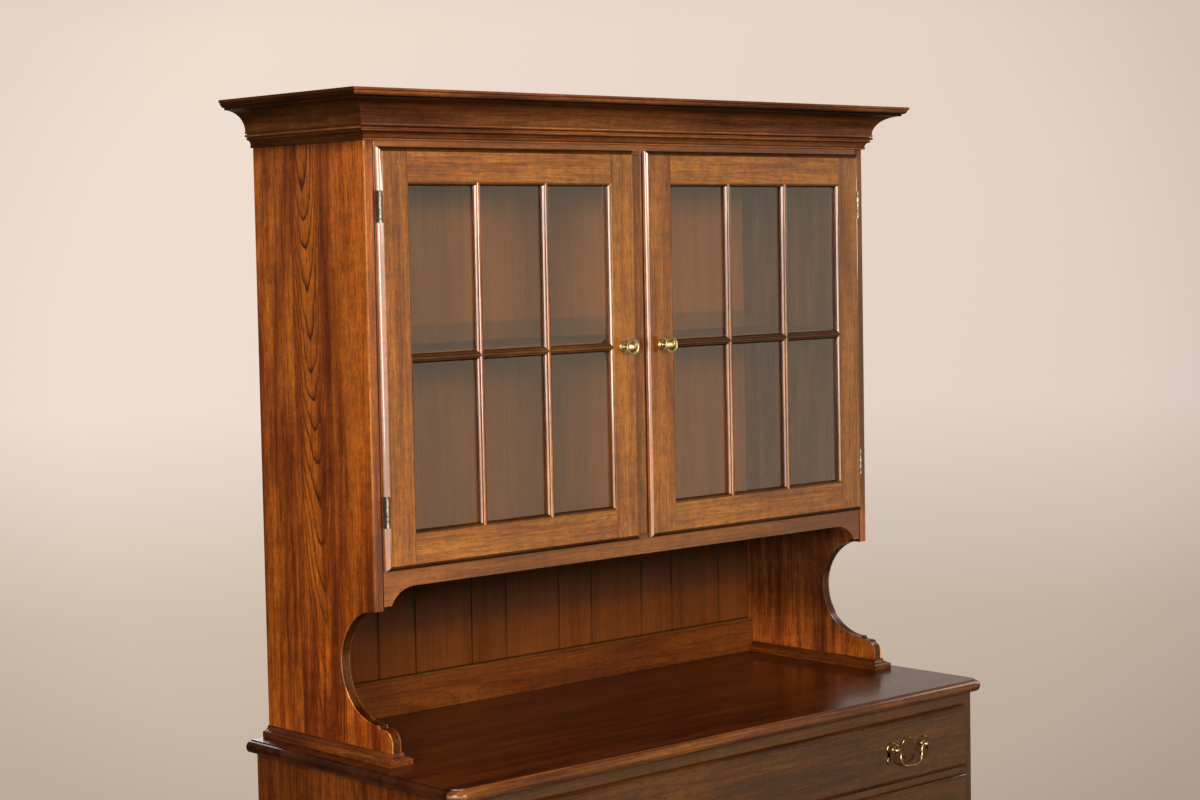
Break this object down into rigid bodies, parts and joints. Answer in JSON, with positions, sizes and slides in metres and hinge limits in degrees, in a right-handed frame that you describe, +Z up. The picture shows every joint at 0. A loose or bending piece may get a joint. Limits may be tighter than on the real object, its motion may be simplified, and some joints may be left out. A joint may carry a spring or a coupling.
{
  "type": "step back cupboard",
  "caption": "Step back cupboard with a glazed hutch under a cove crown, an open niche between scrolled sides, and a chest of lipped drawers on bracket feet.",
  "frame": {"origin": "on the floor, under the middle of the cupboard's bounding box", "axes": "+Z up, -Y towards the front with the doors and the drawers, +X to the right as seen from the front"},
  "size_m": [1.356, 0.5878, 1.925],
  "materials": {
    "front_wood": "stained and polished cherry, satin",
    "side_wood": "stained and polished cherry with cathedral grain, satin",
    "top_wood": "dark stained and polished cherry, gloss",
    "inside_wood": "stained wood, satin",
    "plain_wood": "plain pale wood, matt",
    "brass": "antique brass with bright worn edges",
    "hinge_metal": "worn plated steel",
    "glass": "clear sheet glass"
  },
  "bodies": {
    "case": {"hutch_side_left": "side_wood", "hutch_side_right": "side_wood", "hutch_top": "inside_wood", "hutch_floor": "inside_wood", "hutch_shelf": "inside_wood", "hutch_back": "front_wood", "niche_rail": "front_wood", "foot_moulding_left": "side_wood", "foot_moulding_right": "side_wood", "face_stile_left": "front_wood", "face_stile_right": "front_wood", "face_stile_centre": "front_wood", "face_rail_top": "front_wood", "face_apron": "front_wood", "crown_front": "front_wood", "crown_left": "front_wood", "crown_right": "front_wood", "hinge_left_upper_frame_leaf": "hinge_metal", "hinge_left_lower_frame_leaf": "hinge_metal", "hinge_right_upper_frame_leaf": "hinge_metal", "hinge_right_lower_frame_leaf": "hinge_metal", "base_top": "top_wood", "base_face_frame": "front_wood", "base_side_left": "side_wood", "base_side_right": "side_wood", "base_back": "plain_wood", "runner_frame_1": "plain_wood", "runner_frame_2": "plain_wood", "base_floor": "plain_wood", "bracket_feet": "front_wood"},
    "door_left": {"door_left_frame": "front_wood", "door_left_muntins": "front_wood", "door_left_glass": "glass", "door_left_knob": "brass", "hinge_left_upper_door_leaf": "hinge_metal", "hinge_left_lower_door_leaf": "hinge_metal"},
    "door_right": {"door_right_frame": "front_wood", "door_right_muntins": "front_wood", "door_right_glass": "glass", "door_right_knob": "brass", "hinge_right_upper_door_leaf": "hinge_metal", "hinge_right_lower_door_leaf": "hinge_metal"},
    "drawer_1": {"drawer_1_front": "front_wood", "drawer_1_box": "plain_wood", "drawer_1_pull_left_plate": "brass", "drawer_1_pull_right_plate": "brass"},
    "bail_1_left": {"drawer_1_pull_left_bail": "brass"},
    "bail_1_right": {"drawer_1_pull_right_bail": "brass"},
    "drawer_2": {"drawer_2_front": "front_wood", "drawer_2_box": "plain_wood", "drawer_2_pull_left_plate": "brass", "drawer_2_pull_right_plate": "brass"},
    "bail_2_left": {"drawer_2_pull_left_bail": "brass"},
    "bail_2_right": {"drawer_2_pull_right_bail": "brass"},
    "drawer_3": {"drawer_3_front": "front_wood", "drawer_3_box": "plain_wood", "drawer_3_pull_left_plate": "brass", "drawer_3_pull_right_plate": "brass"},
    "bail_3_left": {"drawer_3_pull_left_bail": "brass"},
    "bail_3_right": {"drawer_3_pull_right_bail": "brass"}
  },
  "joints": [
    {"name": "door_left_hinge", "type": "hinge", "parent": "case", "child": "door_left", "pos_m": [-0.5864, -0.0361, 1.482], "axis": [0, 0, -1], "range_deg": [0, 170]},
    {"name": "door_right_hinge", "type": "hinge", "parent": "case", "child": "door_right", "pos_m": [0.5864, -0.0361, 1.482], "axis": [0, 0, 1], "range_deg": [0, 170]},
    {"name": "drawer_1_slide", "type": "slide", "parent": "case", "child": "drawer_1", "axis": [0, -1, 0], "range_m": [0, 0.4]},
    {"name": "bail_1_left_hinge", "type": "hinge", "parent": "drawer_1", "child": "bail_1_left", "pos_m": [-0.4355, -0.2889, 0.71373], "axis": [-1, 0, 0], "range_deg": [-8, 110]},
    {"name": "bail_1_right_hinge", "type": "hinge", "parent": "drawer_1", "child": "bail_1_right", "pos_m": [0.4355, -0.2889, 0.71373], "axis": [-1, 0, 0], "range_deg": [-8, 110]},
    {"name": "drawer_2_slide", "type": "slide", "parent": "case", "child": "drawer_2", "axis": [0, -1, 0], "range_m": [0, 0.4]},
    {"name": "bail_2_left_hinge", "type": "hinge", "parent": "drawer_2", "child": "bail_2_left", "pos_m": [-0.4355, -0.2889, 0.54451], "axis": [-1, 0, 0], "range_deg": [-8, 110]},
    {"name": "bail_2_right_hinge", "type": "hinge", "parent": "drawer_2", "child": "bail_2_right", "pos_m": [0.4355, -0.2889, 0.54451], "axis": [-1, 0, 0], "range_deg": [-8, 110]},
    {"name": "drawer_3_slide", "type": "slide", "parent": "case", "child": "drawer_3", "axis": [0, -1, 0], "range_m": [0, 0.4]},
    {"name": "bail_3_left_hinge", "type": "hinge", "parent": "drawer_3", "child": "bail_3_left", "pos_m": [-0.4355, -0.2889, 0.31829], "axis": [-1, 0, 0], "range_deg": [-8, 110]},
    {"name": "bail_3_right_hinge", "type": "hinge", "parent": "drawer_3", "child": "bail_3_right", "pos_m": [0.4355, -0.2889, 0.31829], "axis": [-1, 0, 0], "range_deg": [-8, 110]}
  ]
}
